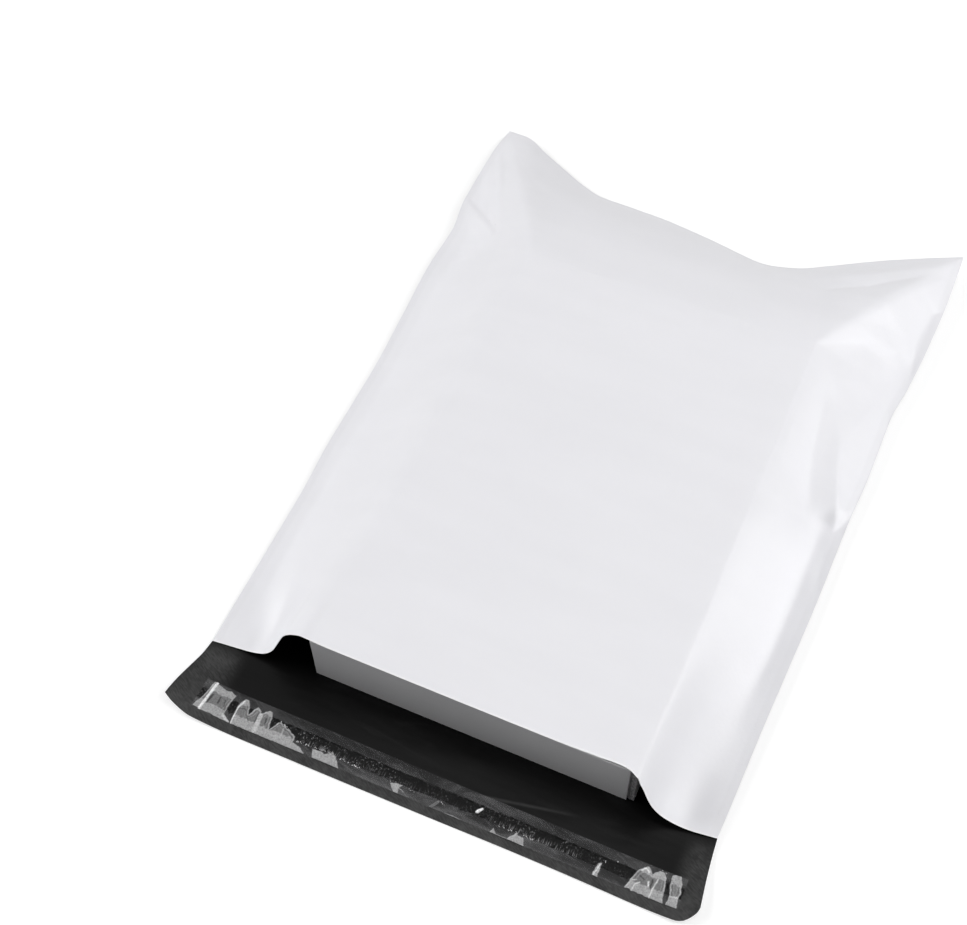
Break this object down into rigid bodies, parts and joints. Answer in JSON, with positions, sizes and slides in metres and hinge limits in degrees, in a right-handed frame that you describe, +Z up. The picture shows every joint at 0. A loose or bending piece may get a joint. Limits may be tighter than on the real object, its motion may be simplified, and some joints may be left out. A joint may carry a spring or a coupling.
{
  "type": "poly mailer bag",
  "caption": "White plastic film mailing bag, black inside, lying open with its adhesive flap out and a closed flat carton pushed inside.",
  "frame": {"origin": "middle of the bag's outline seen from above, on the surface it lies on", "axes": "+Y from the flap to the closed end, along the bag's length; +X across the bag, to the right seen from the flap; +Z up"},
  "size_m": [0.3592, 0.5388, 0.0441],
  "materials": {
    "white_film": "satin white film outside, near-black film inside",
    "hot_melt_glue": "tacky, rippled glue band",
    "clear_liner": "thin clear film, wrinkled, glossy",
    "white_board": "coated white carton board, matt"
  },
  "bodies": {
    "root": {"front_film": "white_film", "back_film": "white_film", "adhesive_strip": "hot_melt_glue", "release_liner": "clear_liner", "carton": "white_board"}
  },
  "joints": []
}
